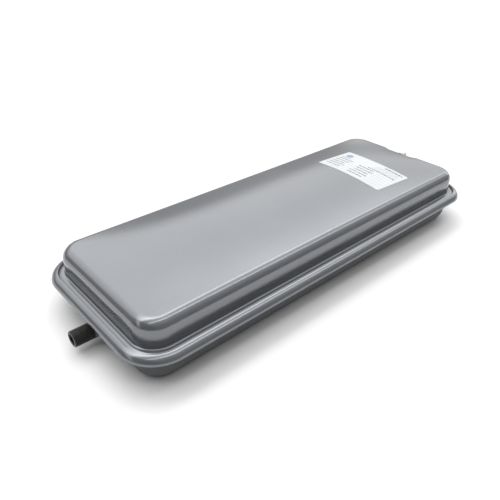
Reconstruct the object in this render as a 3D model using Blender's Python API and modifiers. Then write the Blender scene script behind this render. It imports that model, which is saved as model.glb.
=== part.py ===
"""Flat rectangular expansion vessel for a heating boiler.

Two drawn steel pans, clamped rim to rim by a clinched ring, hold a rubber
diaphragm between them.  Water enters the lower pan through a threaded nipple at
the -X end, and the upper pan is charged with gas through a small core valve that
stands in a recess at the +X end.

Metres, +Z up.  The origin is at the middle of the flat underside, X runs along the
length and Y across the width.
"""
import math

import bmesh
import bpy

MM = 0.001

# Driving dimensions ---------------------------------------------------------
LENGTH = 515 * MM            # over the rim
WIDTH = 203 * MM             # over the rim
CORNER_RADIUS = 40 * MM      # of the rim, seen from above
RIM_BOTTOM = 33.3 * MM       # height of the rim's lower edge over the underside
RIM_HEIGHT = 8 * MM
UPPER_HEIGHT = 34.3 * MM     # rim's lower edge to the end of the upper pan's fold
CROWN = 7 * MM               # bulge of the upper pan's top
SHEET = 1.2 * MM             # steel of both pans and of the ring
RUBBER = 2 * MM              # diaphragm thickness
GAP = 0.3 * MM               # between pieces that touch
CORE_GAP = 0.1 * MM          # between the valve's own small pieces

WALL_INSET = 15 * MM         # from the rim's outer edge to the wall of a pan
FLANGE_INSET = 2.6 * MM      # from the rim's outer edge to the edge of a flange
FILLET_START = 9 * MM        # inset where the flange starts to bend into the wall
FILLET_RADIUS = WALL_INSET - FILLET_START
UPPER_FOLD = 11.5 * MM       # radius between wall and top
FOLD_TURN = 80               # degrees that the fold turns before the crown carries on
LOWER_FOLD = 12 * MM         # radius between wall and underside

RECESS_INSET = 24.5 * MM     # wall of the valve's recess
RECESS_FOLD = 4 * MM
RECESS_FLAT = 18 * MM        # half width of the recess's flat wall
RECESS_EDGE = 27 * MM        # half width where the recess has run out

NIPPLE_Z = 17.3 * MM
NIPPLE_RADIUS = 8.33 * MM    # 3/8 inch pipe thread, over the crests
NIPPLE_BORE = 5.6 * MM
NIPPLE_REACH = 30 * MM       # from the pan's wall to the nipple's end
VALVE_Z = RIM_BOTTOM + 27 * MM

LABEL_SIZE = (61.5 * MM, 102 * MM)
LABEL_CENTRE = (137.5 * MM, -7.5 * MM)
LABEL_TURN = math.radians(-3.2)

HALF_LENGTH = LENGTH / 2
HALF_WIDTH = WIDTH / 2
CORNER_STEPS = 6
ROUND_STEPS = 32             # facets round the nipple
SMALL_STEPS = 20             # facets round the valve's pieces

# Heights in the clinched stack, from the rim's lower edge up ------------------
LOWER_FLANGE = RIM_BOTTOM + SHEET + GAP
BEAD_BOTTOM = LOWER_FLANGE + SHEET + GAP
BEAD_TOP = BEAD_BOTTOM + RUBBER
UPPER_FLANGE = BEAD_TOP + GAP + SHEET
FOLD_TOP = RIM_BOTTOM + UPPER_HEIGHT
CROWN_EDGE = FOLD_TOP - UPPER_FOLD * (1 - math.sin(math.radians(FOLD_TURN)))
CROWN_INSET = WALL_INSET + UPPER_FOLD * (1 - math.cos(math.radians(FOLD_TURN)))


# Scene ----------------------------------------------------------------------
def empty_scene():
    for old in list(bpy.data.objects):
        bpy.data.objects.remove(old)


def new_collection(name):
    group = bpy.data.collections.new(name)
    bpy.context.scene.collection.children.link(group)
    return group


def material(name, colour, roughness, metallic):
    made = bpy.data.materials.new(name)
    made.use_nodes = True
    shader = made.node_tree.nodes["Principled BSDF"]
    shader.inputs["Base Color"].default_value = (*colour, 1)
    shader.inputs["Roughness"].default_value = roughness
    shader.inputs["Metallic"].default_value = metallic
    made.diffuse_color = (*colour, 1)
    return made


def add_object(name, mesh, look, group):
    made = bpy.data.objects.new(name, mesh)
    if look:
        mesh.materials.append(look)
    group.objects.link(made)
    return made


def finish_mesh(bm, name, sharp_degrees=35):
    mesh = bpy.data.meshes.new(name)
    bm.to_mesh(mesh)
    bm.free()
    mesh.shade_smooth()
    mesh.set_sharp_from_angle(angle=math.radians(sharp_degrees))
    return mesh


# Shapes ---------------------------------------------------------------------
def arc(centre, radius, start, end, steps):
    """Points (a, b) on an arc, with the angles in degrees."""
    points = []
    for i in range(steps + 1):
        turn = math.radians(start + (end - start) * i / steps)
        points.append((centre[0] + radius * math.cos(turn), centre[1] + radius * math.sin(turn)))
    return points


def recess_blend(y):
    """1 on the recess's flat wall, falling smoothly to 0 at its edge."""
    t = (RECESS_EDGE - abs(y)) / (RECESS_EDGE - RECESS_FLAT)
    t = min(max(t, 0), 1)
    return t * t * (3 - 2 * t)


def between(start, end, count):
    """Evenly spaced points on a line, without its ends."""
    steps = [i / (count + 1) for i in range(1, count + 1)]
    return [(start[0] + (end[0] - start[0]) * t, start[1] + (end[1] - start[1]) * t) for t in steps]


def outline(inset, end_stations=(), side_points=0, far_points=0, steps=CORNER_STEPS):
    """The rim's rounded rectangle moved inwards by inset, anticlockwise from the +X end.

    end_stations are the extra points' Y on the straight +X end; side_points and far_points
    are the numbers of extra points on each long side and on the -X end."""
    half_x = HALF_LENGTH - inset
    half_y = HALF_WIDTH - inset
    radius = max(CORNER_RADIUS - inset, 8 * MM)
    corner_x = half_x - radius
    corner_y = half_y - radius
    points = [(half_x, y) for y in end_stations]
    points += arc((corner_x, corner_y), radius, 0, 90, steps)
    points += between((corner_x, half_y), (-corner_x, half_y), side_points)
    points += arc((-corner_x, corner_y), radius, 90, 180, steps)
    points += between((-half_x, corner_y), (-half_x, -corner_y), far_points)
    points += arc((-corner_x, -corner_y), radius, 180, 270, steps)
    points += between((-corner_x, -half_y), (corner_x, -half_y), side_points)
    points += arc((corner_x, -corner_y), radius, 270, 360, steps)
    return points


def top_height(x, y):
    """Height of the upper pan's crowned top."""
    across = y / (HALF_WIDTH - CROWN_INSET)
    along = x / (HALF_LENGTH - CROWN_INSET)
    return CROWN_EDGE + CROWN * (1 - across ** 2) * (1 - along ** 4)


def loft(rings, closed=False, cap=False):
    """Skin rings of points that all have the same count; closed joins the last to the first."""
    bm = bmesh.new()
    loops = [[bm.verts.new(point) for point in ring] for ring in rings]
    pairs = list(zip(loops, loops[1:]))
    if closed:
        pairs.append((loops[-1], loops[0]))
    for lower, upper in pairs:
        for i in range(len(lower)):
            j = (i + 1) % len(lower)
            bm.faces.new((lower[i], lower[j], upper[j], upper[i]))
    if cap:
        bm.faces.new(loops[-1])
    return bm


def close_across(bm, count, end_count, far_count):
    """Close the last ring of count points with strips across it, which keep the crown's curve.

    end_count and far_count are the points that the outline has between its corners at the
    +X and -X ends."""
    bm.verts.ensure_lookup_table()
    ring = bm.verts[-count:]
    half = (count - end_count - far_count) // 2
    left = ring[end_count:end_count + half]
    right = ring[-half:][::-1]
    faces = [[left[i], left[i + 1], right[i + 1], right[i]] for i in range(half - 1)]
    faces[0] += ring[:end_count]
    faces[-1][2:2] = ring[end_count + half:end_count + half + far_count]
    for face in faces:
        bm.faces.new(face)


def swept_section(section, steps=CORNER_STEPS):
    """A closed section of (inset, z) points swept round the rim."""
    return loft([[(x, y, z) for x, y in outline(inset, steps=steps)] for inset, z in section], closed=True)


def add_solidify(made, thickness, offset):
    solidify = made.modifiers.new("sheet", "SOLIDIFY")
    solidify.thickness = thickness
    solidify.offset = offset
    solidify.use_even_offset = True


def add_cut(made, cutter):
    cut = made.modifiers.new("cut_" + cutter.name, "BOOLEAN")
    cut.operation = "DIFFERENCE"
    cut.solver = "EXACT"
    cut.object = cutter


def cutter_rod(name, radius, length, centre, group):
    """A cutting cylinder along X."""
    bm = bmesh.new()
    bmesh.ops.create_cone(bm, cap_ends=True, segments=ROUND_STEPS, radius1=radius, radius2=radius, depth=length)
    made = add_object(name, finish_mesh(bm, name), None, group)
    made.rotation_euler = (0, math.pi / 2, 0)
    made.location = centre
    made.hide_render = True
    made.display_type = "WIRE"
    return made


def turned(name, profile, look, group, place, facing=1, steps=SMALL_STEPS, ring=True):
    """A piece turned about its local Z, which points along +X, or along -X if facing is -1.

    profile is a list of (radius, station) points that runs down the outer side.  A ring's
    profile is a closed loop; a solid piece's starts and ends on the axis."""
    mesh = bpy.data.meshes.new(name)
    edges = [(i, i + 1) for i in range(len(profile) - 1)]
    if ring:
        edges.append((len(profile) - 1, 0))
    mesh.from_pydata([(radius, 0, station) for radius, station in profile], edges, [])
    made = add_object(name, mesh, look, group)
    screw = made.modifiers.new("turn", "SCREW")
    screw.steps = steps
    screw.render_steps = steps
    screw.use_merge_vertices = True
    screw.merge_threshold = 0.00001
    screw.use_smooth_shade = True
    made.rotation_euler = (0, facing * math.pi / 2, 0)
    made.location = place
    return made


# The two pans and their clamp -------------------------------------------------
def upper_shell(look, group, cutter):
    """The gas-side pan, with the valve's recess pressed into its +X end."""
    corner = (FILLET_START, UPPER_FLANGE + FILLET_RADIUS)
    wall = [(FLANGE_INSET, UPPER_FLANGE)] + arc(corner, FILLET_RADIUS, -90, 0, 4)
    wall += arc((WALL_INSET + UPPER_FOLD, FOLD_TOP - UPPER_FOLD), UPPER_FOLD, 180, 180 - FOLD_TURN, 6)

    corner = (RECESS_INSET - FILLET_RADIUS, UPPER_FLANGE + FILLET_RADIUS)
    dent = [(FLANGE_INSET, UPPER_FLANGE)] + arc(corner, FILLET_RADIUS, -90, 0, 4)
    dent += arc((RECESS_INSET + RECESS_FOLD, FOLD_TOP - RECESS_FOLD), RECESS_FOLD, 180, 180 - FOLD_TURN, 6)

    stations = [-RECESS_EDGE, -24 * MM, -21 * MM, -RECESS_FLAT, 0, RECESS_FLAT, 21 * MM, 24 * MM, RECESS_EDGE]
    side_points = 11
    far_points = 5
    rings = []
    for (inset, z), (dent_inset, dent_z) in zip(wall, dent):
        ring = []
        for i, (x, y) in enumerate(outline(inset, stations, side_points, far_points)):
            blend = recess_blend(y) if i < len(stations) else 0
            ring.append((x - blend * (dent_inset - inset), y, z + blend * (dent_z - z)))
        rings.append(ring)
    for inset in (40 * MM, 58 * MM, 76 * MM, 90 * MM):
        reach = max(HALF_WIDTH - inset - 10 * MM, 2 * MM) / RECESS_EDGE
        inner = [y * min(reach, 1) for y in stations]
        flat = outline(inset, inner, side_points, far_points)
        rings.append([(x, y, top_height(x, y)) for x, y in flat])
    bm = loft(rings)
    close_across(bm, len(rings[-1]), len(stations), far_points)
    shell = add_object("upper_shell", finish_mesh(bm, "upper_shell"), look, group)
    add_solidify(shell, SHEET, -1)
    add_cut(shell, cutter)


def lower_shell(look, group, cutter):
    """The water-side pan, with a flat underside to rest on."""
    corner = (FILLET_START, LOWER_FLANGE - FILLET_RADIUS)
    wall = [(FLANGE_INSET, LOWER_FLANGE)] + arc(corner, FILLET_RADIUS, 90, 0, 4)
    wall += arc((WALL_INSET + LOWER_FOLD, LOWER_FOLD), LOWER_FOLD, 180, 270, 6)
    rings = [[(x, y, z) for x, y in outline(inset)] for inset, z in wall]
    bm = loft(rings, cap=True)
    bmesh.ops.reverse_faces(bm, faces=bm.faces)
    shell = add_object("lower_shell", finish_mesh(bm, "lower_shell"), look, group)
    add_solidify(shell, SHEET, -1)
    add_cut(shell, cutter)


def clinch_ring(look, group):
    """A C section folded round both flanges: a lower lip, the rim's side and a rolled upper lip."""
    low = RIM_BOTTOM
    high = RIM_BOTTOM + RIM_HEIGHT
    lip_end = 7.8 * MM
    roll = 2.8 * MM
    turn_up = 2 * MM
    section = [(lip_end, low + SHEET), (lip_end, low)]
    section += arc((turn_up, low + turn_up), turn_up, 270, 180, 3)
    section += arc((roll, high - roll), roll, 180, 90, 4)
    section += [(lip_end - 0.6 * MM, high), (lip_end, high - 0.6 * MM), (lip_end, high - SHEET)]
    section += arc((roll, high - roll), roll - SHEET, 90, 180, 3)
    section += arc((turn_up, low + turn_up), turn_up - SHEET, 180, 270, 2)
    add_object("clinch_ring", finish_mesh(swept_section(section), "clinch_ring"), look, group)


# The diaphragm ----------------------------------------------------------------
def diaphragm(look, group):
    """One rubber moulding, in three nodes: the clamped bead, the rolling skirt and the panel.

    It lies against the water-side pan, as the gas charge holds it in an empty vessel."""
    bead = [(FILLET_START, BEAD_BOTTOM), (FLANGE_INSET, BEAD_BOTTOM)]
    bead += [(FLANGE_INSET, BEAD_TOP), (FILLET_START, BEAD_TOP)]
    add_object("diaphragm_bead", finish_mesh(swept_section(bead), "diaphragm_bead"), look, group)

    near = SHEET + GAP
    far = near + RUBBER
    panel_inset = 32 * MM
    bend = (FILLET_START + GAP, LOWER_FLANGE - FILLET_RADIUS)
    fold = (WALL_INSET + LOWER_FOLD, LOWER_FOLD)
    skirt = [(panel_inset - GAP, far), (panel_inset - GAP, near)]
    skirt += arc(fold, LOWER_FOLD - near, 270, 180, 4)
    skirt += arc(bend, FILLET_RADIUS + near - GAP, 0, 90, 4)
    skirt += arc(bend, FILLET_RADIUS + far - GAP, 90, 0, 4)
    skirt += arc(fold, LOWER_FOLD - far, 180, 270, 4)
    add_object("diaphragm_skirt", finish_mesh(swept_section(skirt), "diaphragm_skirt"), look, group)

    edge = outline(panel_inset)
    bm = loft([[(x, y, near) for x, y in edge], [(x, y, far) for x, y in edge]], cap=True)
    bmesh.ops.holes_fill(bm, edges=bm.edges)
    bmesh.ops.recalc_face_normals(bm, faces=bm.faces)
    add_object("diaphragm_panel", finish_mesh(bm, "diaphragm_panel"), look, group)


# The water connection ---------------------------------------------------------
def water_nipple(steel, paint, group, place):
    """Stations run outwards from the pan's wall."""
    chamfer = 0.9 * MM
    inner_end = -SHEET
    nipple = [
        (NIPPLE_BORE + chamfer / 2, NIPPLE_REACH),
        (NIPPLE_RADIUS - chamfer, NIPPLE_REACH),
        (NIPPLE_RADIUS, NIPPLE_REACH - chamfer),
        (NIPPLE_RADIUS, inner_end),
        (NIPPLE_BORE, inner_end),
        (NIPPLE_BORE, NIPPLE_REACH - chamfer / 2),
    ]
    turned("water_nipple", nipple, steel, group, place, facing=-1, steps=ROUND_STEPS)

    seat = NIPPLE_RADIUS + GAP
    leg = 3 * MM
    weld = [(seat, leg + GAP), (seat + 0.65 * leg, 0.65 * leg + GAP), (seat + leg, GAP), (seat, GAP)]
    turned("water_nipple_weld", weld, paint, group, place, facing=-1, steps=ROUND_STEPS)


# The charging valve -------------------------------------------------------------
# Stations run outwards from the recess's wall.  The core's pieces use a smaller gap.
MOUTH = 10 * MM              # end of the stem
STEM_RADIUS = 3.85 * MM      # over the cap thread's crests
STEM_INNER_RADIUS = 3.4 * MM
STEM_INNER_END = -7 * MM
BASE_RADIUS = 5.2 * MM
BASE_TOP = 1.8 * MM
PLUG_BORE = 2.65 * MM
SEAT_TOP = 4.9 * MM
SEAT_BOTTOM = 3.9 * MM
LOWER_BORE = 2.1 * MM
BARREL_BOTTOM = -1.5 * MM
BARREL_BORE = 1.45 * MM
BARREL_RADIUS = 1.8 * MM
BARREL_FLOOR = 0.6 * MM
PIN_RADIUS = 0.55 * MM
COLLAR_BOTTOM = 4 * MM


def valve_stem(brass, solder, group, place):
    stem = [
        (PLUG_BORE, MOUTH),
        (STEM_RADIUS - 0.4 * MM, MOUTH),
        (STEM_RADIUS, MOUTH - 0.4 * MM),
        (STEM_RADIUS, BASE_TOP),
        (BASE_RADIUS, BASE_TOP),
        (BASE_RADIUS, GAP),
        (STEM_INNER_RADIUS, GAP),
        (STEM_INNER_RADIUS, STEM_INNER_END),
        (LOWER_BORE, STEM_INNER_END),
        (LOWER_BORE, SEAT_BOTTOM),
        (PLUG_BORE, SEAT_TOP),
    ]
    turned("valve_stem", stem, brass, group, place)

    seat = BASE_RADIUS + GAP
    leg = 1.1 * MM
    ring = [(seat, leg + GAP), (seat + leg, GAP), (seat, GAP)]
    turned("valve_solder_ring", ring, solder, group, place)


def valve_core(brass, rubber, steel, group, place):
    top = MOUTH - 0.4 * MM
    foot = SEAT_TOP + 0.9 * MM
    bore = 1.3 * MM
    plug = [(bore, top), (PLUG_BORE - CORE_GAP, top), (PLUG_BORE - CORE_GAP, foot), (bore, foot)]
    turned("core_plug", plug, brass, group, place)

    shoulder = 2.4 * MM
    head = foot - CORE_GAP
    neck = SEAT_TOP + 0.2 * MM
    floor_hole = PIN_RADIUS + 2.5 * CORE_GAP
    barrel = [
        (BARREL_BORE, head),
        (shoulder, head),
        (shoulder, neck),
        (BARREL_RADIUS, neck),
        (BARREL_RADIUS, BARREL_BOTTOM),
        (floor_hole, BARREL_BOTTOM),
        (floor_hole, BARREL_BOTTOM + BARREL_FLOOR),
        (BARREL_BORE, BARREL_BOTTOM + BARREL_FLOOR),
    ]
    turned("core_barrel", barrel, brass, group, place)

    inside = BARREL_RADIUS + CORE_GAP
    seal = [(inside, neck - CORE_GAP), (2.45 * MM, neck - CORE_GAP), (2.05 * MM, SEAT_BOTTOM), (inside, SEAT_BOTTOM)]
    turned("core_barrel_seal", seal, rubber, group, place)

    head_radius = 0.9 * MM
    collar = 1.2 * MM
    pin = [
        (0, 9.3 * MM),
        (head_radius, 9.3 * MM),
        (head_radius, 8.5 * MM),
        (PIN_RADIUS, 8.5 * MM),
        (PIN_RADIUS, COLLAR_BOTTOM + 0.6 * MM),
        (collar, COLLAR_BOTTOM + 0.6 * MM),
        (collar, COLLAR_BOTTOM),
        (PIN_RADIUS, COLLAR_BOTTOM),
        (PIN_RADIUS, -4 * MM),
        (0, -4 * MM),
    ]
    turned("core_pin", pin, steel, group, place, ring=False)

    hole = PIN_RADIUS + CORE_GAP
    seal_radius = 1.35 * MM
    seal_top = BARREL_BOTTOM - CORE_GAP
    seal_foot = seal_top - 0.8 * MM
    cup_seal = [(hole, seal_top), (seal_radius, seal_top), (seal_radius, seal_foot), (hole, seal_foot)]
    turned("core_cup_seal", cup_seal, rubber, group, place)

    cup_radius = 1.85 * MM
    pocket = seal_radius + CORE_GAP
    cup_top = seal_top - 0.2 * MM
    cup_floor = seal_foot - CORE_GAP
    cup_foot = cup_floor - 1 * MM
    cup = [
        (pocket, cup_top),
        (cup_radius, cup_top),
        (cup_radius, cup_foot),
        (hole, cup_foot),
        (hole, cup_floor),
        (pocket, cup_floor),
    ]
    turned("core_cup", cup, brass, group, place)


def core_spring(steel, group, place):
    """The wire that pushes the pin's collar outwards, standing on the barrel's floor."""
    wire = 0.12 * MM
    coil = 1.15 * MM
    turns = 6
    per_turn = 10
    start = BARREL_BOTTOM + BARREL_FLOOR + wire + CORE_GAP
    end = COLLAR_BOTTOM - wire - CORE_GAP
    count = turns * per_turn + 1
    path = bpy.data.curves.new("core_spring", "CURVE")
    path.dimensions = "3D"
    path.bevel_depth = wire
    path.bevel_resolution = 1
    path.use_fill_caps = True
    spline = path.splines.new("POLY")
    spline.points.add(count - 1)
    for i, point in enumerate(spline.points):
        turn = 2 * math.pi * i / per_turn
        station = start + (end - start) * i / (count - 1)
        point.co = (coil * math.cos(turn), coil * math.sin(turn), station, 1)
    spring = add_object("core_spring", path, steel, group)
    spring.rotation_euler = (0, math.pi / 2, 0)
    spring.location = place


def valve_cap(metal, rubber, group, place):
    skirt = 2.6 * MM
    end = 12.4 * MM
    radius = 4.7 * MM
    bore = STEM_RADIUS + 0.25 * MM
    inner_end = end - 1.2 * MM
    dome = 1.6 * MM
    cap = [(0, end)] + list(reversed(arc((radius - dome, end - dome), dome, 0, 90, 3)))
    cap += [(radius, skirt), (bore, skirt), (bore, inner_end), (0, inner_end)]
    turned("valve_cap", cap, metal, group, place, ring=False)

    face = MOUTH + 0.2 * MM
    disc = [(0, inner_end - 0.2 * MM), (bore - 0.2 * MM, inner_end - 0.2 * MM), (bore - 0.2 * MM, face), (0, face)]
    turned("valve_cap_seal", disc, rubber, group, place, ring=False)


# The label ----------------------------------------------------------------------
def label(paper, group):
    """A sticker that follows the crown of the top."""
    bm = bmesh.new()
    bmesh.ops.create_grid(bm, x_segments=5, y_segments=8, size=0.5)
    cos = math.cos(LABEL_TURN)
    sin = math.sin(LABEL_TURN)
    for vert in bm.verts:
        across = vert.co.x * LABEL_SIZE[0]
        along = vert.co.y * LABEL_SIZE[1]
        x = LABEL_CENTRE[0] + across * cos - along * sin
        y = LABEL_CENTRE[1] + across * sin + along * cos
        vert.co = (x, y, top_height(x, y) + GAP)
    made = add_object("label", finish_mesh(bm, "label"), paper, group)
    add_solidify(made, 0.2 * MM, 1)


def build():
    empty_scene()
    parts = new_collection("expansion_vessel")
    cutters = new_collection("cutters")

    paint = material("grey_paint", (0.42, 0.44, 0.46), 0.32, 0)
    black_steel = material("black_steel", (0.02, 0.02, 0.022), 0.45, 0.6)
    nickel = material("nickel", (0.62, 0.6, 0.54), 0.3, 1)
    brass = material("brass", (0.66, 0.5, 0.25), 0.3, 1)
    spring_steel = material("spring_steel", (0.5, 0.5, 0.52), 0.3, 1)
    seal_rubber = material("seal_rubber", (0.03, 0.03, 0.03), 0.7, 0)
    diaphragm_rubber = material("diaphragm_rubber", (0.04, 0.04, 0.045), 0.8, 0)
    paper = material("label_paper", (0.82, 0.84, 0.85), 0.4, 0)

    nipple_place = (-(HALF_LENGTH - WALL_INSET), 0, NIPPLE_Z)
    valve_place = (HALF_LENGTH - RECESS_INSET, 0, VALVE_Z)
    nipple_hole = cutter_rod("nipple_hole", NIPPLE_RADIUS + GAP, 8 * MM, nipple_place, cutters)
    valve_hole = cutter_rod("valve_hole", STEM_INNER_RADIUS + GAP, 8 * MM, valve_place, cutters)

    lower_shell(paint, parts, nipple_hole)
    upper_shell(paint, parts, valve_hole)
    clinch_ring(paint, parts)
    diaphragm(diaphragm_rubber, parts)
    water_nipple(black_steel, paint, parts, nipple_place)
    valve_stem(brass, paint, parts, valve_place)
    valve_core(brass, seal_rubber, spring_steel, parts, valve_place)
    core_spring(spring_steel, parts, valve_place)
    valve_cap(nickel, seal_rubber, parts, valve_place)
    label(paper, parts)


build()
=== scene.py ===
"""Expansion vessel: the detailed visual model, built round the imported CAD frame.

Metres, in the frame of the CAD: the vessel lies on Z = 0 with its length along X, the
water nipple at the -X end and the charging valve at the +X end.
"""

import math
import random

import bmesh
import bpy
from mathutils import Matrix, Vector


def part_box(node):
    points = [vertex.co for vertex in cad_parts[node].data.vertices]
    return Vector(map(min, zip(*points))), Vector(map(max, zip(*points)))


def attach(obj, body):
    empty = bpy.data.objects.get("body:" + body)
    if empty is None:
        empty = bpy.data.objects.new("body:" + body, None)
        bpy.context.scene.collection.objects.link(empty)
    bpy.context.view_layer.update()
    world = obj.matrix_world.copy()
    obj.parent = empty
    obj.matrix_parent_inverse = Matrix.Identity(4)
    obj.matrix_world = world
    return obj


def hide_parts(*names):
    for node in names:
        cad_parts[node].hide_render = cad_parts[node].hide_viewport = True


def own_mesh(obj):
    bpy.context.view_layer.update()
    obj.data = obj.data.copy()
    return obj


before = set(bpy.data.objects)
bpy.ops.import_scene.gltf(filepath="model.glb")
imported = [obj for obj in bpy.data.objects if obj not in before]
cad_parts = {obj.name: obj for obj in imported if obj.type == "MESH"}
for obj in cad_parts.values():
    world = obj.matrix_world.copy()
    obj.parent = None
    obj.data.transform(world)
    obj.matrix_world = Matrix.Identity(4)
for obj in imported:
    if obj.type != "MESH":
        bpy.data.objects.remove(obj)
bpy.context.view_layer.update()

MM = 0.001

# Sizes that come from the CAD nodes' boxes --------------------------------------
rim_low, rim_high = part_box("clinch_ring")
upper_low, upper_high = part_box("upper_shell")
lower_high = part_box("lower_shell")[1]
nipple_low, nipple_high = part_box("water_nipple")
stem_low, stem_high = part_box("valve_stem")
cap_low, cap_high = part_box("valve_cap")
label_low, label_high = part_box("label")

HALF_LENGTH = rim_high[0]
HALF_WIDTH = rim_high[1]
RIM_BOTTOM = rim_low[2]
RIM_TOP = rim_high[2]

# Sizes of the pans; an inset is measured inwards from the rim's edge
SHEET = 1.2 * MM
GAP = 0.3 * MM               # that touching pieces keep
CORNER_RADIUS = 40 * MM      # of the rim
INNER_RADIUS = 8 * MM        # of the innermost rings of the crown
WALL_INSET = 15 * MM
LIP_END = 7.8 * MM           # inset of the clinched lips' edges

UPPER_FLANGE = upper_low[2] + SHEET
UPPER_FLANGE_INSET = 6 * MM
UPPER_FILLET = 1.8 * MM
UPPER_FOLD = 11.5 * MM
FOLD_TURN = 80               # degrees that the fold turns between the wall and the crown
FOLD_TOP = RIM_BOTTOM + 34.3 * MM
CROWN_EDGE = FOLD_TOP - UPPER_FOLD * (1 - math.sin(math.radians(FOLD_TURN)))
CROWN_INSET = WALL_INSET + UPPER_FOLD * (1 - math.cos(math.radians(FOLD_TURN)))
CROWN = upper_high[2] - CROWN_EDGE

LOWER_FLANGE = lower_high[2] - SHEET
LOWER_FLANGE_INSET = 2.6 * MM
LOWER_FILLET = 6 * MM
LOWER_FILLET_INSET = WALL_INSET - LOWER_FILLET
LOWER_FOLD = 12 * MM

# The valve's recess; FLAT and EDGE are the half-widths of its flat wall and of its mouth
RECESS_INSET = 24.5 * MM
RECESS_FOLD = 4 * MM
RECESS_FLAT = 18 * MM
RECESS_EDGE = 27 * MM

NIPPLE_PLACE = (-(HALF_LENGTH - WALL_INSET), 0, (nipple_low[2] + nipple_high[2]) / 2)
VALVE_PLACE = (HALF_LENGTH - RECESS_INSET, 0, (stem_low[2] + stem_high[2]) / 2)
PANEL_INSET = HALF_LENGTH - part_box("diaphragm_panel")[1][0]
LABEL_SIZE = (61.5 * MM, 102 * MM)
LABEL_TURN = math.radians(-3.2)
LABEL_CENTRE = ((label_low[0] + label_high[0]) / 2, (label_low[1] + label_high[1]) / 2)
INK_LOW = 0.19 * MM          # the heights of the printing's two faces above the crown
INK_HIGH = 0.21 * MM

# Points on each corner, long side and end of an outline
CORNER_STEPS = 22
SIDE_POINTS = 70
END_POINTS = 61


# Meshes -------------------------------------------------------------------------
def arc(centre, radius, start, end, steps):
    """Points (a, b) on an arc, with the angles in degrees."""
    points = []
    for i in range(steps + 1):
        turn = math.radians(start + (end - start) * i / steps)
        points.append((centre[0] + radius * math.cos(turn), centre[1] + radius * math.sin(turn)))
    return points


def between(start, end, count):
    """Evenly spaced points on a line, without its ends."""
    steps = [i / (count + 1) for i in range(1, count + 1)]
    return [(start[0] + (end[0] - start[0]) * t, start[1] + (end[1] - start[1]) * t) for t in steps]


def outline(inset):
    """(x, y) points of the rim's rounded rectangle moved inwards, anticlockwise from the +X end."""
    half_x = HALF_LENGTH - inset
    half_y = HALF_WIDTH - inset
    radius = max(CORNER_RADIUS - inset, INNER_RADIUS)
    radius = min(radius, half_y)
    x = half_x - radius
    y = half_y - radius
    points = between((half_x, -y), (half_x, y), END_POINTS)
    points += arc((x, y), radius, 0, 90, CORNER_STEPS)
    points += between((x, half_y), (-x, half_y), SIDE_POINTS)
    points += arc((-x, y), radius, 90, 180, CORNER_STEPS)
    points += between((-half_x, y), (-half_x, -y), END_POINTS)
    points += arc((-x, -y), radius, 180, 270, CORNER_STEPS)
    points += between((-x, -half_y), (x, -half_y), SIDE_POINTS)
    points += arc((x, -y), radius, 270, 360, CORNER_STEPS)
    return points


def skin(rings, closed=False):
    """A bmesh of quads between rings of points that all have the same count."""
    bm = bmesh.new()
    loops = [[bm.verts.new(point) for point in ring] for ring in rings]
    pairs = list(zip(loops, loops[1:]))
    if closed:
        pairs.append((loops[-1], loops[0]))
    for lower, upper in pairs:
        for i in range(len(lower)):
            j = (i + 1) % len(lower)
            bm.faces.new((lower[i], lower[j], upper[j], upper[i]))
    return bm, loops


def close_across(bm, ring):
    """Close the last ring of an outline with strips across it."""
    half = len(ring) // 2 - END_POINTS
    left = ring[END_POINTS:END_POINTS + half]
    right = ring[-half:][::-1]
    faces = [[left[i], left[i + 1], right[i + 1], right[i]] for i in range(half - 1)]
    faces[0] += ring[:END_POINTS]
    faces[-1][2:2] = ring[END_POINTS + half:2 * END_POINTS + half]
    for face in faces:
        bm.faces.new(face)


def make_object(name, bm, looks, sharp=40, outward=True):
    """An object from a bmesh, smooth except where faces meet at more than sharp degrees.

    outward is False for an open sheet, whose faces already point the right way."""
    if outward:
        bmesh.ops.recalc_face_normals(bm, faces=bm.faces)
    mesh = bpy.data.meshes.new(name)
    bm.to_mesh(mesh)
    bm.free()
    mesh.shade_smooth()
    mesh.set_sharp_from_angle(angle=math.radians(sharp))
    for look in looks:
        mesh.materials.append(look)
    made = bpy.data.objects.new(name, mesh)
    bpy.context.scene.collection.objects.link(made)
    return made


def thicken(made, thickness, side):
    """Make a sheet solid, on the side its faces point to (1) or the other (-1)."""
    solidify = made.modifiers.new("thickness", "SOLIDIFY")
    solidify.thickness = thickness
    solidify.offset = side


def place_piece(made, body, slot, *nodes):
    """Put a finished piece on its CAD body, in place of the nodes."""
    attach(made, body)
    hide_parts(*nodes)


def swept_section(section):
    """A bmesh of a closed section of (inset, z) points, swept round the rim."""
    return skin([[(x, y, z) for x, y in outline(inset)] for inset, z in section], closed=True)[0]


# Node helpers -------------------------------------------------------------------
def new_material(name):
    """A node material, its tree and its shader."""
    made = bpy.data.materials.new(name)
    made.use_nodes = True
    tree = made.node_tree
    return made, tree, tree.nodes["Principled BSDF"]


def add_node(tree, kind, settings=None, **inputs):
    """A node with its settings and its inputs; an input is a value or another node's output."""
    node = tree.nodes.new(kind)
    for key, value in (settings or {}).items():
        setattr(node, key, value)
    for key, value in inputs.items():
        socket = node.inputs[key.replace("_", " ")]
        if isinstance(value, bpy.types.NodeSocket):
            tree.links.new(value, socket)
        else:
            socket.default_value = value
    return node


def noise(tree, vector, scale, detail=2):
    """Noise from 0 to 1; scale is in patches to the metre."""
    node = add_node(tree, "ShaderNodeTexNoise", Vector=vector, Scale=scale, Detail=detail)
    return node.outputs["Fac"]


def ramp(tree, value, low, high, to_low, to_high):
    """Map a value linearly from low..high to to_low..to_high, held at the ends."""
    node = add_node(tree, "ShaderNodeMapRange", Value=value)
    node.inputs["From Min"].default_value = low
    node.inputs["From Max"].default_value = high
    node.inputs["To Min"].default_value = to_low
    node.inputs["To Max"].default_value = to_high
    return node.outputs["Result"]


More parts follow.
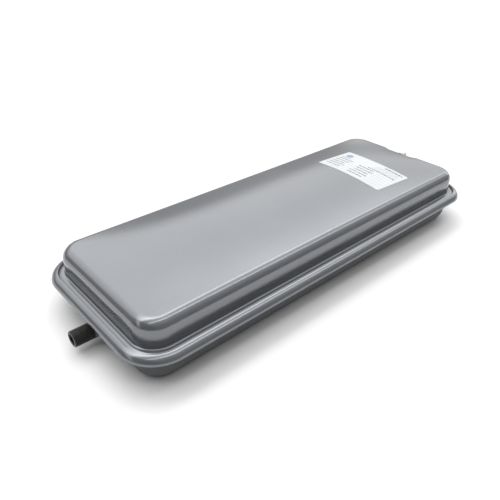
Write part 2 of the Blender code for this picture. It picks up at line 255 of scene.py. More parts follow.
def mix_colours(tree, factor, first, second):
    """Mix two colours; each is (red, green, blue) or another node's output."""
    node = add_node(tree, "ShaderNodeMix", {"data_type": "RGBA"})
    tree.links.new(factor, node.inputs[0])
    sockets = [socket for socket in node.inputs if socket.type == "RGBA"]
    for socket, value in zip(sockets, (first, second)):
        if isinstance(value, bpy.types.NodeSocket):
            tree.links.new(value, socket)
        else:
            socket.default_value = (*value, 1)
    return [socket for socket in node.outputs if socket.type == "RGBA"][0]


def mottled(tree, cloud, first, second):
    """Mix two colours in the soft patches of a noise."""
    return mix_colours(tree, ramp(tree, cloud, 0.3, 0.7, 0, 1), first, second)


def bump(tree, shader, height, distance, normal=None):
    """Raise the surface by height times distance, on top of another bump's normal."""
    node = add_node(tree, "ShaderNodeBump", Strength=1, Distance=distance, Height=height)
    if normal:
        tree.links.new(normal, node.inputs["Normal"])
    tree.links.new(node.outputs["Normal"], shader.inputs["Normal"])
    return node.outputs["Normal"]


def object_coords(tree):
    """The place on the object, in metres."""
    return add_node(tree, "ShaderNodeTexCoord").outputs["Object"]


# Materials ----------------------------------------------------------------------
def paint_material(name, dark, light, roughness, metallic, coat):
    """Grey stoving paint over steel, with bright grains, slow waves and orange peel."""
    made, tree, shader = new_material(name)
    place = object_coords(tree)
    cloud = noise(tree, place, 9, 3)
    speck = tuple(1.9 * level for level in light)
    grains = ramp(tree, noise(tree, place, 1600, 1), 0.35, 0.65, 0, 0.12)
    tone = mix_colours(tree, grains, mottled(tree, cloud, dark, light), speck)
    tree.links.new(tone, shader.inputs["Base Color"])
    gloss = ramp(tree, cloud, 0.3, 0.7, roughness, roughness + 0.06)
    tree.links.new(gloss, shader.inputs["Roughness"])
    shader.inputs["Metallic"].default_value = metallic
    shader.inputs["Coat Weight"].default_value = coat
    shader.inputs["Coat Roughness"].default_value = 0.08
    waves = bump(tree, shader, noise(tree, place, 60, 1), 0.05 * MM)
    bump(tree, shader, noise(tree, place, 420, 2), 0.02 * MM, waves)
    return made


def distance_from_axis(tree, place, axis_point):
    """How far a place is from the line along X through a point."""
    offset = add_node(tree, "ShaderNodeVectorMath", {"operation": "SUBTRACT"})
    tree.links.new(place, offset.inputs[0])
    offset.inputs[1].default_value = axis_point
    flat = add_node(tree, "ShaderNodeVectorMath", {"operation": "MULTIPLY"})
    tree.links.new(offset.outputs["Vector"], flat.inputs[0])
    flat.inputs[1].default_value = (0, 1, 1)
    length = add_node(tree, "ShaderNodeVectorMath", {"operation": "LENGTH"})
    tree.links.new(flat.outputs["Vector"], length.inputs[0])
    return length.outputs["Value"]


def nipple_material():
    """Black oiled steel with worn crests, a bare end face and the pan's paint over its root."""
    made, tree, shader = new_material("nipple_look")
    place = object_coords(tree)
    along = add_node(tree, "ShaderNodeSeparateXYZ", Vector=place).outputs["X"]
    cloud = noise(tree, place, 260, 3)
    crest = (nipple_high[2] - nipple_low[2]) / 2
    out = distance_from_axis(tree, place, NIPPLE_PLACE)
    worn = ramp(tree, out, crest - 0.16 * MM, crest - 0.04 * MM, 0, 0.5)
    bare = ramp(tree, along, nipple_low[0], nipple_low[0] + 0.7 * MM, 1, 0)
    # The paint ends in a ragged line, at paint_end give or take 1.1 mm
    ragged = add_node(tree, "ShaderNodeMath", {"operation": "MULTIPLY_ADD"})
    tree.links.new(cloud, ragged.inputs[0])
    ragged.inputs[1].default_value = 2.2 * MM
    tree.links.new(along, ragged.inputs[2])
    paint_end = NIPPLE_PLACE[0] - 9.5 * MM + 1.1 * MM
    painted = ramp(tree, ragged.outputs["Value"], paint_end - 0.6 * MM, paint_end + 0.6 * MM, 0, 1)

    tone = mottled(tree, cloud, (0.004, 0.004, 0.0045), (0.014, 0.013, 0.012))
    tone = mix_colours(tree, worn, tone, (0.16, 0.157, 0.148))
    tone = mix_colours(tree, bare, tone, (0.14, 0.135, 0.13))
    tone = mix_colours(tree, painted, tone, (0.2, 0.21, 0.225))
    tree.links.new(tone, shader.inputs["Base Color"])
    tree.links.new(ramp(tree, painted, 0, 1, 0.42, 0.25), shader.inputs["Roughness"])
    shader.inputs["Metallic"].default_value = 0.2
    shader.inputs["Specular IOR Level"].default_value = 0.15
    bump(tree, shader, noise(tree, place, 2200, 2), 0.05 * MM)
    return made


def plain_material(name, colours, roughness, metallic, patches, grains, depth):
    """A finish with mottled colour and roughness, and a fine bump.

    patches and grains are noise scales, and depth is the bump's, in millimetres."""
    made, tree, shader = new_material(name)
    place = object_coords(tree)
    cloud = noise(tree, place, patches, 3)
    tree.links.new(mottled(tree, cloud, *colours), shader.inputs["Base Color"])
    gloss = ramp(tree, cloud, 0.3, 0.7, roughness, roughness + 0.12)
    tree.links.new(gloss, shader.inputs["Roughness"])
    shader.inputs["Metallic"].default_value = metallic
    bump(tree, shader, noise(tree, place, grains, 2), depth * MM)
    return made


def ink_material(name, *colours):
    """Printing ink, in two tones that are mixed in patches."""
    return plain_material(
        name, colours, roughness=0.4, metallic=0, patches=900, grains=2000, depth=0.01)


paint = paint_material(
    "grey_paint_look", dark=(0.176, 0.184, 0.197), light=(0.19, 0.198, 0.21),
    roughness=0.14, metallic=0.62, coat=0.2)
# The lower pan's paint: the same grey as the upper pan's, darkened and dulled as painted shade under the
# rim
shaded_paint = paint_material(
    "grey_paint_painted_shade_look", dark=(0.07, 0.073, 0.078), light=(0.085, 0.089, 0.094),
    roughness=0.45, metallic=0, coat=0)
nipple_look = nipple_material()
nickel = plain_material(
    "nickel_look", ((0.62, 0.58, 0.5), (0.7, 0.67, 0.6)),
    roughness=0.22, metallic=1, patches=200, grains=3000, depth=0.02)
brass = plain_material(
    "brass_look", ((0.62, 0.44, 0.18), (0.72, 0.54, 0.26)),
    roughness=0.25, metallic=1, patches=300, grains=3000, depth=0.02)
steel_wire = plain_material(
    "spring_steel_look", ((0.45, 0.45, 0.47), (0.6, 0.6, 0.62)),
    roughness=0.22, metallic=1, patches=400, grains=4000, depth=0.01)
seal_rubber = plain_material(
    "seal_rubber_look", ((0.02, 0.02, 0.02), (0.04, 0.04, 0.04)),
    roughness=0.6, metallic=0, patches=300, grains=3000, depth=0.03)
diaphragm_rubber = plain_material(
    "diaphragm_rubber_look", ((0.025, 0.025, 0.027), (0.045, 0.045, 0.05)),
    roughness=0.62, metallic=0, patches=60, grains=900, depth=0.08)
paper = plain_material(
    "label_paper_look", ((0.47, 0.488, 0.5), (0.5, 0.518, 0.53)),
    roughness=0.4, metallic=0, patches=80, grains=1500, depth=0.02)
ink_dark = ink_material("label_ink_dark", (0.045, 0.05, 0.057), (0.07, 0.075, 0.085))
ink_mid = ink_material("label_ink_mid", (0.1, 0.105, 0.12), (0.14, 0.145, 0.165))
ink_faint = ink_material("label_ink_faint", (0.24, 0.25, 0.26), (0.29, 0.3, 0.31))
ink_blue = ink_material("label_ink_blue", (0.14, 0.19, 0.28), (0.2, 0.26, 0.36))


# The pans -----------------------------------------------------------------------
def recess_blend(y):
    """1 on the recess's flat wall, falling smoothly to 0 at its edge."""
    t = (RECESS_EDGE - abs(y)) / (RECESS_EDGE - RECESS_FLAT)
    t = min(max(t, 0), 1)
    return t * t * (3 - 2 * t)


def crown_height(x, y):
    """Height of the upper pan's crowned top."""
    across = y / (HALF_WIDTH - CROWN_INSET)
    along = x / (HALF_LENGTH - CROWN_INSET)
    return CROWN_EDGE + CROWN * max(1 - across ** 2, 0) * max(1 - along ** 4, 0)


def smooth_heights(rings, first, last, rounds):
    """Even out the heights of neighbouring points, from the first ring up to the last."""
    for _ in range(rounds):
        heights = [[point[2] for point in ring] for ring in rings]
        for k in range(first, last):
            ring = rings[k]
            count = len(ring)
            for i in range(count):
                near = heights[k - 1][i] + heights[k + 1][i]
                near += heights[k][i - 1] + heights[k][(i + 1) % count]
                x, y, z = ring[i]
                ring[i] = (x, y, 0.5 * z + 0.5 * near / 4)


def wall_profile(inset, fold):
    """(inset, z) points up the upper pan's side, from its flange to the crown's edge."""
    points = [(UPPER_FLANGE_INSET, UPPER_FLANGE), (WALL_INSET - UPPER_FILLET - 1 * MM, UPPER_FLANGE)]
    points += arc((inset - UPPER_FILLET, UPPER_FLANGE + UPPER_FILLET), UPPER_FILLET, -90, 0, 14)
    points += between(points[-1], (inset, FOLD_TOP - fold), 5)
    points += arc((inset + fold, FOLD_TOP - fold), fold, 180, 180 - FOLD_TURN, 24)
    return points


def upper_pan():
    """The gas-side pan, with the valve's recess in its +X end."""
    wall = wall_profile(WALL_INSET, UPPER_FOLD)
    dent = wall_profile(RECESS_INSET, RECESS_FOLD)
    rings = []
    for (inset, z), (dent_inset, dent_z) in zip(wall, dent):
        ring = []
        for i, (x, y) in enumerate(outline(inset)):
            blend = recess_blend(y) if x > 0 and abs(y) < RECESS_EDGE and i < END_POINTS else 0
            ring.append((x - blend * (dent_inset - inset), y, z + blend * (dent_z - z)))
        rings.append(ring)
    fold_end = len(rings)

    # Rings of the crown, close together near the fold; the dent dies out towards spread
    recess_end = dent[-1][0]
    spread = 40 * MM
    insets = [CROWN_INSET + 1.5 * MM * k for k in range(1, 11)]
    insets += [insets[-1] + 4 * MM * k for k in range(1, 15)]
    for inset in insets:
        ring = []
        for i, (x, y) in enumerate(outline(inset)):
            if i < END_POINTS and inset < spread:
                share = (inset - CROWN_INSET) / (spread - CROWN_INSET)
                dented = recess_end + share * (spread - recess_end)
                x -= recess_blend(y) * (dented - inset)
            ring.append((x, y, crown_height(x, y)))
        rings.append(ring)
    smooth_heights(rings, first=fold_end - 5, last=fold_end + 8, rounds=10)
    bm, loops = skin(rings)
    close_across(bm, loops[-1])
    made = make_object("upper_pan", bm, [paint], 50, outward=False)
    thicken(made, SHEET, -1)
    place_piece(made, "vessel", "grey_paint", "upper_shell")


def lower_pan():
    """The water-side pan with its flat underside."""
    fillet = (LOWER_FILLET_INSET, LOWER_FLANGE - LOWER_FILLET)
    wall = [(LOWER_FLANGE_INSET, LOWER_FLANGE), (LOWER_FILLET_INSET - 1 * MM, LOWER_FLANGE)]
    wall += arc(fillet, LOWER_FILLET, 90, 0, 12)
    wall += between(wall[-1], (WALL_INSET, LOWER_FOLD), 5)
    wall += arc((WALL_INSET + LOWER_FOLD, LOWER_FOLD), LOWER_FOLD, 180, 270, 22)
    wall += [(WALL_INSET + LOWER_FOLD + 1.5 * MM, 0)]
    bm, loops = skin([[(x, y, z) for x, y in outline(inset)] for inset, z in wall])
    bm.faces.new(loops[-1])
    bmesh.ops.reverse_faces(bm, faces=bm.faces)
    # Its paint is darkened and dulled as painted shade
    made = make_object("lower_pan", bm, [shaded_paint], 50, outward=False)
    thicken(made, SHEET, -1)
    place_piece(made, "vessel", "grey_paint", "lower_shell")


def rim_clinch():
    """The C section folded round both flanges, with a bead that gets steeper outwards."""
    turn_up = 1.3 * MM
    edge = 0.4 * MM
    steep = 8                    # degrees, at the lip's edge
    # (radius, steepness in degrees at its outer end) of the arcs across the bead
    bends = ((10 * MM, 24), (8 * MM, 70), (6 * MM, 90))
    inset, z = LIP_END - edge, RIM_TOP
    outside = [(LIP_END, RIM_TOP - SHEET), (LIP_END, RIM_TOP - edge)]
    inside = []
    for bend, steeper in bends:
        centre = (
            inset + bend * math.sin(math.radians(steep)),
            z - bend * math.cos(math.radians(steep)),
        )
        outside += arc(centre, bend, 90 + steep, 90 + steeper, 8)
        inside += arc(centre, bend - SHEET, 90 + steep, 90 + steeper, 8)
        inset, z = outside[-1]
        steep = steeper
    foot = (inset + turn_up, RIM_BOTTOM + turn_up)
    section = outside + arc(foot, turn_up, 180, 270, 8)
    section += [(LIP_END, RIM_BOTTOM), (LIP_END, RIM_BOTTOM + SHEET)]
    section += arc(foot, 0.3 * MM, 270, 180, 3)
    section += inside[::-1]
    made = make_object("rim_clinch", swept_section(section), [paint], 50)
    place_piece(made, "vessel", "grey_paint", "clinch_ring")


# Turned pieces --------------------------------------------------------------------
def threaded(pitch, depth, zone, fade):
    """A function of angle, radius and station that cuts a thread, faded out at its zone's ends."""
    def radius_at(turn, radius, station):
        start, end = zone
        if not start < station < end:
            return radius
        phase = station / pitch - turn / (2 * math.pi)
        valley = min(max(0.5 - 0.62 * math.cos(2 * math.pi * phase), 0), 1)
        edge = min((station - start) / fade, (end - station) / fade, 1)
        return radius - depth * valley * edge
    return radius_at


def turned_piece(name, profile, place, facing, steps, looks, shape=None, closed=True, sharp=35):
    """A piece turned about a line along X; shape(turn, radius, station) gives each point's radius."""
    rings = []
    for radius, station in profile:
        ring = []
        for i in range(steps):
            turn = 2 * math.pi * i / steps
            here = shape(turn, radius, station) if shape else radius
            x = place[0] + facing * station
            ring.append((x, place[1] + here * math.cos(turn), place[2] + here * math.sin(turn)))
        rings.append(ring)
    bm, loops = skin(rings, closed=closed)
    if not closed:
        bm.faces.new(loops[0])
        bm.faces.new(loops[-1])
    return make_object(name, bm, looks, sharp)


def straight(radius, start, end, step):
    """Points at one radius from start to end, evenly spaced by about step."""
    count = max(int(round(abs(end - start) / step)), 1)
    return [(radius, start + (end - start) * i / count) for i in range(count + 1)]


# The water connection -------------------------------------------------------------
def water_nipple():
    """3/8 inch pipe thread, 19 to the inch; its root end is painted with the pan."""
    crest = (nipple_high[2] - nipple_low[2]) / 2
    pitch = 25.4 * MM / 19
    depth = 0.86 * MM
    bore = 5.6 * MM
    reach = NIPPLE_PLACE[0] - nipple_low[0]
    chamfer = 0.9 * MM
    profile = [(bore, -SHEET), (crest, -SHEET)]
    profile += straight(crest, 9 * MM, reach - chamfer, pitch / 9)
    profile += [(crest - chamfer / 2, reach - chamfer / 2), (crest - chamfer, reach)]
    profile += [(bore + chamfer / 2, reach), (bore, reach - chamfer / 2)]
    shape = threaded(pitch, depth, (9.4 * MM, reach - chamfer / 2), 1.3 * pitch)
    made = turned_piece("nipple_thread", profile, NIPPLE_PLACE, -1, 64, [nipple_look], shape, sharp=60)
    place_piece(made, "vessel", "black_steel", "water_nipple")


def nipple_weld():
    """A rippled fillet weld, painted with the pan."""
    seat = (nipple_high[2] - nipple_low[2]) / 2 + GAP
    leg = 3 * MM
    profile = [(seat, GAP)] + arc((seat, GAP), leg, 90, 0, 10)
    rng = random.Random(4)
    ripples = [rng.uniform(-0.1, 0.1) * MM for _ in range(48)]

    def shape(turn, radius, station):
        if radius <= seat:
            return radius
        index = turn / (2 * math.pi) * len(ripples)
        wave = 0.12 * MM * math.cos(2 * math.pi * (index * 0.75 + 200 * station))
        share = (radius - seat) / leg
        return radius + share * (wave + ripples[int(index) % len(ripples)] - 0.25 * MM)

    made = turned_piece("nipple_weld_bead", profile, NIPPLE_PLACE, -1, 96, [paint], shape, sharp=60)
    place_piece(made, "vessel", "grey_paint", "water_nipple_weld")


# The charging valve ---------------------------------------------------------------
def valve_stem():
    """Turned brass stem with the cap's fine thread."""
    crest = 3.85 * MM
    base = (stem_high[2] - stem_low[2]) / 2
    mouth = stem_high[0] - VALVE_PLACE[0]
    tail = stem_low[0] - VALVE_PLACE[0]
    pitch = 0.794 * MM
    bore = 2.1 * MM
    wide_bore = 2.65 * MM
    tail_radius = 3.4 * MM
    bevel = 0.2 * MM
    flange_top = 1.8 * MM
    groove = crest - 0.35 * MM
    seat = 3.9 * MM              # station where the narrow bore opens out in a cone

    profile = [(bore, tail + bevel), (bore + bevel, tail)]
    profile += [(tail_radius - bevel, tail), (tail_radius, tail + bevel), (tail_radius, GAP)]
    profile += [(base - bevel, GAP), (base, GAP + bevel)]
    profile += [(base, flange_top - bevel), (base - bevel, flange_top)]
    profile += [(groove, flange_top), (groove, flange_top + 0.5 * MM)]
    profile += straight(crest, flange_top + 0.7 * MM, mouth - 0.4 * MM, pitch / 9)
    profile += [(crest - 0.4 * MM, mouth), (wide_bore + 0.1 * MM, mouth)]
    profile += [(wide_bore, mouth - 0.1 * MM), (wide_bore, seat + 1 * MM), (bore, seat)]
    zone = (flange_top + 0.6 * MM, mouth - 0.2 * MM)
    shape = threaded(pitch, 0.42 * MM, zone, 1.2 * pitch)
    made = turned_piece("valve_stem_thread", profile, VALVE_PLACE, 1, 48, [brass], shape, sharp=60)
    place_piece(made, "vessel", "brass", "valve_stem")


def valve_solder():
    """A concave fillet of solder round the stem's base, painted with the pan."""
    seat = (stem_high[2] - stem_low[2]) / 2 + GAP
    leg = 1.1 * MM
    profile = [(seat, GAP)] + arc((seat + leg, GAP + leg), leg, 270, 180, 8)
    made = turned_piece("valve_solder_fillet", profile, VALVE_PLACE, 1, 64, [paint])
    place_piece(made, "vessel", "grey_paint", "valve_solder_ring")


def valve_cap():
    """Plated cap with a knurled skirt and a rounded end."""
    radius = (cap_high[2] - cap_low[2]) / 2
    skirt = cap_low[0] - VALVE_PLACE[0]
    end = cap_high[0] - VALVE_PLACE[0]
    bore = 4.1 * MM
    inner = 0.3 * MM             # radius of the small flats in the middle of the closed end
    floor = end - 1.2 * MM
    dome = 1.6 * MM
    shoulder = end - dome
    groove = radius - 0.25 * MM
    flutes = 32
    flute_depth = 0.16 * MM

    profile = [(inner, floor), (bore, floor), (bore, skirt + 0.2 * MM), (bore + 0.1 * MM, skirt)]
    profile += [(radius - 0.25 * MM, skirt), (radius - 0.02 * MM, skirt + 0.25 * MM)]
    profile += straight(radius, skirt + 0.4 * MM, shoulder - 1.1 * MM, 0.3 * MM)
    profile += [(groove, shoulder - 0.9 * MM), (groove, shoulder - 0.6 * MM)]
    profile += [(radius, shoulder - 0.4 * MM)]
    profile += arc((radius - dome, shoulder), dome, 0, 90, 10) + [(inner, end)]

    def shape(turn, here, station):
        if here < radius or not skirt + 0.4 * MM < station < shoulder - 1 * MM:
            return here
        return here - flute_depth * abs(math.sin(turn * flutes / 2))

    made = turned_piece("valve_cap_knurled", profile, VALVE_PLACE, 1, 192, [nickel], shape, closed=False)
    place_piece(made, "cap", "nickel", "valve_cap")


def core_spring():
    """The core's fine wire spring."""
    low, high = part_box("core_spring")
    wire = 0.12 * MM
    coil = (high[2] - low[2]) / 2 - wire
    turns = 6.5
    turn_steps = 24
    wire_steps = 8
    count = int(turns * turn_steps)
    rings = []
    for k in range(count + 1):
        turn = 2 * math.pi * k / turn_steps
        x = low[0] + wire + (high[0] - low[0] - 2 * wire) * k / count
        out = Vector((0, math.cos(turn), math.sin(turn)))
        centre = Vector((x, VALVE_PLACE[1], VALVE_PLACE[2])) + out * coil
        ring = []
        for j in range(wire_steps):
            around = 2 * math.pi * j / wire_steps
            side = math.cos(around) * out + math.sin(around) * Vector((1, 0, 0))
            ring.append(centre + wire * side)
        rings.append(ring)
    bm, loops = skin(rings)
    bm.faces.new(loops[0])
    bm.faces.new(loops[-1])
    made = make_object("core_spring_wire", bm, [steel_wire])
    place_piece(made, "vessel", "spring_steel", "core_spring")
    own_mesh(made)


# The diaphragm ----------------------------------------------------------------------
def rounded_section(points, radius):
    """Round the corners of a closed section of (inset, z) points."""
    result = []
    count = len(points)
    for i in range(count):
        before = Vector(points[i - 1])
        here = Vector(points[i])
        after = Vector(points[(i + 1) % count])
        first = here + (before - here).normalized() * radius
        last = here + (after - here).normalized() * radius
        for t in (0, 0.33, 0.67, 1):
            mixed = first * (1 - t) ** 2 + here * 2 * t * (1 - t) + last * t ** 2
            result.append((mixed.x, mixed.y))
    return result


def diaphragm_bead():
    """The clamped edge, a flat rubber rim with soft corners."""
    low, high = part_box("diaphragm_bead")
    outer = HALF_LENGTH - high[0]
    inner = LOWER_FILLET_INSET
    section = [(inner, low[2]), (outer, low[2]), (outer, high[2]), (inner, high[2])]
    bm = swept_section(rounded_section(section, 0.5 * MM))
    made = make_object("diaphragm_bead_moulding", bm, [diaphragm_rubber])
    place_piece(made, "vessel", "diaphragm_rubber", "diaphragm_bead")


def diaphragm_skirt():
    """The diaphragm's rolling wall."""
    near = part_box("diaphragm_skirt")[0][2]
    far = near + 2 * MM
    end = PANEL_INSET - GAP
    bend = (LOWER_FILLET_INSET + GAP, LOWER_FLANGE - LOWER_FILLET)
    fold = (WALL_INSET + LOWER_FOLD, LOWER_FOLD)
    section = [(end, far), (end, near)]
    section += arc(fold, LOWER_FOLD - near, 270, 180, 12)
    section += arc(bend, LOWER_FILLET + near - GAP, 0, 90, 10)
    section += arc(bend, LOWER_FILLET + far - GAP, 90, 0, 10)
    section += arc(fold, LOWER_FOLD - far, 180, 270, 12)
    made = make_object("diaphragm_skirt_moulding", swept_section(section), [diaphragm_rubber])
    place_piece(made, "vessel", "diaphragm_rubber", "diaphragm_skirt")
    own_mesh(made)


def diaphragm_panel():
    """The centre, with two shallow grooves round its upper face."""
    low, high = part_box("diaphragm_panel")
    near, far = low[2], high[2]
    groove_width = 4 * MM
    groove_depth = 0.5 * MM
    steps = 8
    profile = [(PANEL_INSET, near), (PANEL_INSET, far - 0.4 * MM), (PANEL_INSET + 0.4 * MM, far)]
    for start in (44 * MM, 56 * MM):
        for k in range(steps + 1):
            inset = start + groove_width * k / steps
            profile.append((inset, far - groove_depth * math.sin(math.pi * k / steps)))
    profile.append((70 * MM, far))
    bm, loops = skin([[(x, y, z) for x, y in outline(inset)] for inset, z in profile])
    bm.faces.new(loops[0])
    bm.faces.new(loops[-1])
    made = make_object("diaphragm_panel_moulding", bm, [diaphragm_rubber])
    place_piece(made, "diaphragm", "diaphragm_rubber", "diaphragm_panel")


# The label --------------------------------------------------------------------------
def label_point(across, along, lift):
    """A point on the crown from label coordinates; across runs along X, along runs along Y."""
    x = LABEL_CENTRE[0] + across * math.cos(LABEL_TURN) - along * math.sin(LABEL_TURN)
    y = LABEL_CENTRE[1] + across * math.sin(LABEL_TURN) + along * math.cos(LABEL_TURN)
    return (x, y, crown_height(x, y) + lift)


def label_sheet():
    """The paper, with slightly clipped corners."""
    lift = 0.04 * MM
    clip = 0.45 * MM
    columns = 20
    rows = 34
    bm = bmesh.new()
    grid = []
    for i in range(columns + 1):
        line = []
        for j in range(rows + 1):
            across = LABEL_SIZE[0] * (i / columns - 0.5)
            along = LABEL_SIZE[1] * (j / rows - 0.5)
            if i in (0, columns) and j in (0, rows):
                across -= math.copysign(clip, across)
                along -= math.copysign(clip, along)
            line.append(bm.verts.new(label_point(across, along, lift)))
        grid.append(line)
    for i in range(columns):
        for j in range(rows):
            bm.faces.new((grid[i][j], grid[i + 1][j], grid[i + 1][j + 1], grid[i][j + 1]))
    made = make_object("label_sheet", bm, [paper], outward=False)
    thicken(made, 0.14 * MM, 1)
    place_piece(made, "vessel", "label_paper", "label")


def ink_solid(bm, corners, ink_index):
    """A thin printed solid over an outline of (across, along) label coordinates."""
    base = [bm.verts.new(label_point(across, along, INK_LOW)) for across, along in corners]
    top = [bm.verts.new(label_point(across, along, INK_HIGH)) for across, along in corners]
    count = len(corners)
    faces = [base[::-1], top]
    faces += [(base[i], base[(i + 1) % count], top[(i + 1) % count], top[i]) for i in range(count)]
    for face in faces:
        bm.faces.new(face).material_index = ink_index


def ink_box(bm, across, along, ink_index):
    """A printed bar between two (low, high) pairs in mm, in short pieces that follow the crown."""
    pieces = max(int((along[1] - along[0]) / 5), 1)
    left = across[0] * MM
    right = across[1] * MM
    for k in range(pieces):
        near = (along[0] + (along[1] - along[0]) * k / pieces) * MM
        far = (along[0] + (along[1] - along[0]) * (k + 1) / pieces) * MM
        ink_solid(bm, [(left, near), (right, near), (right, far), (left, far)], ink_index)


def ink_row(bm, rng, across, along, height, ink_index):
    """A row of unreadable words in mm, from along[1] down to along[0]."""
    place = along[1]
    while place > along[0] + 1:
        length = min(rng.uniform(1.6, 5.5), place - along[0])
        ink_box(bm, (across, across + height), (place - length, place), ink_index)
        place -= length + rng.uniform(0.7, 1.2)


def ink_oval(bm, centre, radii, ink_index):
    """A printed oval, with its sizes in mm."""
    segments = 24
    corners = []
    for i in range(segments):
        turn = 2 * math.pi * i / segments
        across = centre[0] + radii[0] * math.cos(turn)
        along = centre[1] + radii[1] * math.sin(turn)
        corners.append((across * MM, along * MM))
    ink_solid(bm, corners, ink_index)


def label_print():
    """Generic printing: rows of unreadable words, ruled lines and a plain oval mark."""
    rng = random.Random(12)
    bm = bmesh.new()
    dark, mid, faint, blue = range(4)
    pitch = 6.2                  # mm, of the rows in the label's lower part
    row_count = 5

    # The heading, the line and the small print under it, and a short entry at the side
    ink_row(bm, rng, 23.4, (-44.5, -17), 2.4, dark)
    ink_row(bm, rng, 7.4, (-45, -2), 2.0, dark)
    for k in range(3):
        ink_row(bm, rng, 19 - 3.6 * k, (-44, -10 + 2 * k), 1.1, faint)
    ink_row(bm, rng, 9.6, (30, 45), 1.5, dark)

    # Two columns of rows, then two columns of ruled lines
    for k in range(row_count):
        ink_row(bm, rng, 4 - pitch * k, (21 + 2.5 * (k % 3), 45), 2.1, mid)
    for k in range(row_count):
        ink_row(bm, rng, 2 - pitch * k, (-16 - 3 * (k % 2), 9 - 1.2 * (k % 3)), 2.2, mid)
    for k in range(row_count):
        ink_box(bm, (1.5 - pitch * k, 2 - pitch * k), (-47, -21), faint)
    for k in range(row_count):
        ink_box(bm, (-0.6 - pitch * k, -0.2 - pitch * k), (11, 47), faint)

    ink_oval(bm, (18, 38.5), (4.6, 5.4), blue)
    made = make_object("label_print", bm, [ink_dark, ink_mid, ink_faint, ink_blue])
    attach(made, "vessel")


def dress_nodes():
    """Better finishes for the small CAD pieces that stay."""
    looks = {
        "core_plug": brass,
        "core_barrel": brass,
        "core_cup": brass,
        "core_pin": steel_wire,
        "core_barrel_seal": seal_rubber,
        "core_cup_seal": seal_rubber,
        "valve_cap_seal": seal_rubber,
    }
    for name, look in looks.items():
        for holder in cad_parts[name].material_slots:
            holder.material = look


upper_pan()
lower_pan()
rim_clinch()
water_nipple()
nipple_weld()
valve_stem()
valve_solder()
valve_cap()
core_spring()
diaphragm_bead()
diaphragm_skirt()
diaphragm_panel()
label_sheet()
label_print()
dress_nodes()


# Floor, camera and light ----------------------------------------------------------
def add_floor():
    """A big pale floor, just below the vessel."""
    bm = bmesh.new()
    bmesh.ops.create_grid(bm, x_segments=1, y_segments=1, size=6)
    floor_look, _, shader = new_material("floor_look")
    shader.inputs["Base Color"].default_value = (0.64, 0.64, 0.64, 1)
    shader.inputs["Roughness"].default_value = 0.6
    made = make_object("floor", bm, [floor_look])
    made.location.z = -0.2 * MM


def add_camera():
    """The photograph's viewpoint; back is the direction from the target to the camera."""
    azimuth = math.radians(-42.2)
    elevation = math.radians(33.37)
    roll = math.radians(1.02)
    distance = 578.2 * MM
    target = Vector((-62.5 * MM, -12 * MM, RIM_BOTTOM))
    back = Vector((
        math.sin(azimuth) * math.cos(elevation),
        -math.cos(azimuth) * math.cos(elevation),
        math.sin(elevation),
    ))
    right = (-back).cross(Vector((0, 0, 1))).normalized()
    up = right.cross(-back)
    turned_right = right * math.cos(roll) + up * math.sin(roll)
    turned_up = up * math.cos(roll) - right * math.sin(roll)
    data = bpy.data.cameras.new("camera")
    data.sensor_width = 36
    data.lens = 37.08
    data.clip_start = 0.01
    made = bpy.data.objects.new("camera", data)
    bpy.context.scene.collection.objects.link(made)
    turn = Matrix((turned_right, turned_up, back)).transposed().to_4x4()
    made.matrix_world = Matrix.Translation(target + back * distance) @ turn
    bpy.context.scene.camera = made


def add_area(name, place, target, size, power):
    """A rectangular lamp that lights the object but isn't mirrored in it."""
    data = bpy.data.lights.new(name, "AREA")
    data.shape = "RECTANGLE"
    data.size = size[0]
    data.size_y = size[1]
    data.energy = power
    made = bpy.data.objects.new(name, data)
    bpy.context.scene.collection.objects.link(made)
    made.location = place
    made.visible_glossy = False
    facing = (Vector(place) - Vector(target)).normalized()
    across = facing.cross(Vector((0, 0, 1))).normalized()
    made.rotation_euler = Matrix((across, facing.cross(across), facing)).transposed().to_euler()


# The big panel that the paint mirrors is drawn in the world, by the direction looked in.
# Its brightness against its lean, which is the direction's Y part over its Z part: two
# bright tubes, with a softer field between and beyond them
PANEL_LEVELS = (
    (-1.3, 0.1), (-0.32, 0.36), (-0.28, 3), (-0.22, 3), (-0.14, 0.7), (0.22, 0.72),
    (0.3, 3.1), (0.4, 3.1), (0.49, 1.6), (0.74, 1.16), (0.98, 1), (1.9, 1), (2.6, 0),
)
# The share of that brightness along the tubes, against the direction's X part
PANEL_SHARES = (
    (-0.6, 0), (-0.5, 0.6), (0.0, 0.85), (0.2, 1.02), (0.4, 0.97), (0.6, 0.9), (0.85, 0.56),
)
PANEL_LIGHT = 1.55
# A soft patch of light that the crown's near corner picks up, against the lean
PATCH_LEVELS = ((0.25, 0), (0.5, 1), (0.64, 0.75), (0.95, 0))


def curve(tree, value, points):
    """Map a value through straight lines between (input, output) points."""
    low = points[0][0]
    high = points[-1][0]
    peak = max(level for _, level in points)
    share = ramp(tree, value, low, high, 0, 1)
    node = add_node(tree, "ShaderNodeValToRGB", Fac=share)
    stops = node.color_ramp.elements
    while len(stops) < len(points):
        stops.new(0.5)
    for stop, (place, level) in zip(stops, points):
        stop.position = (place - low) / (high - low)
        stop.color = (level / peak, level / peak, level / peak, 1)
    return ramp(tree, node.outputs["Color"], 0, 1, 0, peak)


def combine(tree, operation, *values):
    """Combine nodes' outputs from left to right with a maths operation."""
    result = values[0]
    for value in values[1:]:
        node = add_node(tree, "ShaderNodeMath", {"operation": operation})
        tree.links.new(result, node.inputs[0])
        tree.links.new(value, node.inputs[1])
        result = node.outputs["Value"]
    return result


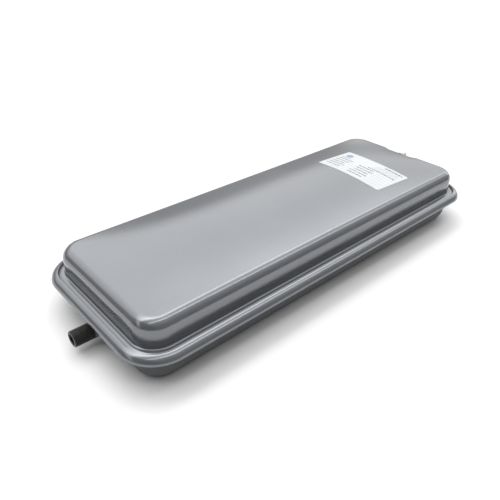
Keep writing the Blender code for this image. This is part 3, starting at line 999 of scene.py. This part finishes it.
def sky_glow(tree, direction, towards, level):
    """A faint glow of the sky, brightest where direction points towards a side."""
    facing = add_node(tree, "ShaderNodeVectorMath", {"operation": "DOT_PRODUCT"})
    tree.links.new(direction, facing.inputs[0])
    facing.inputs[1].default_value = Vector(towards).normalized()
    return ramp(tree, facing.outputs["Value"], -0.2, 0.8, 0.04, level)


def add_world():
    """The sky, the panel and the patch of light, and a plain backdrop behind them."""
    world = bpy.data.worlds.new("studio")
    bpy.context.scene.world = world
    world.use_nodes = True
    tree = world.node_tree
    direction = add_node(tree, "ShaderNodeTexCoord").outputs["Generated"]
    parts = add_node(tree, "ShaderNodeSeparateXYZ", Vector=direction).outputs
    lean = combine(tree, "DIVIDE", parts["Y"], parts["Z"])

    sky = sky_glow(tree, direction, (0.67, 0.74, 0.35), 0.4)
    panel = combine(
        tree, "MULTIPLY",
        curve(tree, lean, PANEL_LEVELS),
        curve(tree, parts["X"], PANEL_SHARES),
        ramp(tree, parts["Z"], 0.02, 0.1, 0, PANEL_LIGHT),
    )
    patch = combine(
        tree, "MULTIPLY",
        curve(tree, lean, PATCH_LEVELS),
        ramp(tree, parts["X"], 0.1, 0.46, 1.5, 0),
        ramp(tree, parts["Z"], 0.02, 0.1, 0, 1),
    )
    background = tree.nodes["Background"]
    background.inputs["Color"].default_value = (1, 1, 1, 1)
    tree.links.new(combine(tree, "ADD", sky, panel, patch), background.inputs["Strength"])

    # The camera itself sees a plain pale backdrop beyond the floor's edge
    backdrop = add_node(tree, "ShaderNodeBackground", Color=(1, 1, 1, 1), Strength=0.97)
    choose = add_node(tree, "ShaderNodeMixShader")
    tree.links.new(add_node(tree, "ShaderNodeLightPath").outputs["Is Camera Ray"], choose.inputs[0])
    tree.links.new(background.outputs[0], choose.inputs[1])
    tree.links.new(backdrop.outputs[0], choose.inputs[2])
    tree.links.new(choose.outputs[0], tree.nodes["World Output"].inputs["Surface"])


add_floor()
add_camera()
add_world()
add_area("key", place=(-2.24, -2.47, 8), target=(0, 0, 0), size=(10, 1.2), power=190)
add_area("fill", place=(-0.5, -0.5, 4), target=(0, 0, 0), size=(7, 7), power=110)
bpy.context.scene.view_settings.view_transform = "Standard"
